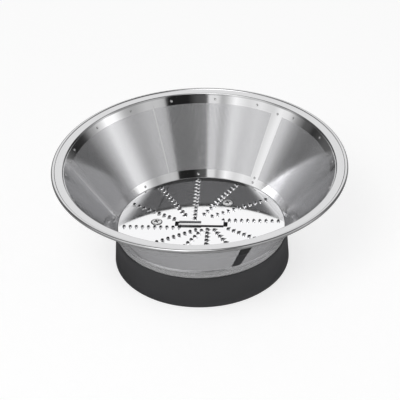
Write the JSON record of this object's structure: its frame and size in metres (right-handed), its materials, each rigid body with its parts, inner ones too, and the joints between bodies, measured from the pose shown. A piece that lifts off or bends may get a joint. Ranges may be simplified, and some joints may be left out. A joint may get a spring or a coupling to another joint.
{
  "type": "juicer mesh screen",
  "caption": "Conical stainless filter basket for a juicer, with a punched grater disc and a round black base that sits on the drive.",
  "frame": {"origin": "centre of the base's underside", "axes": "+Z is the spin axis, up through the mouth of the basket; -Y is the near side in the picture"},
  "size_m": [0.19, 0.19, 0.0722],
  "materials": {
    "black_moulding": "satin moulded black plastic",
    "polished_steel": "polished stainless sheet",
    "screw_steel": "plain stainless",
    "pressed_steel": "pressed bright stainless sheet",
    "mesh_foil": "etched stainless foil, satin"
  },
  "bodies": {
    "root": {"base_ring": "black_moulding", "grater_disc": "polished_steel", "disc_screws": "screw_steel", "foot_ring": "pressed_steel", "mesh_panel_1": "mesh_foil", "mesh_panel_2": "mesh_foil", "mesh_panel_3": "mesh_foil", "rim_ring": "pressed_steel"}
  },
  "joints": []
}
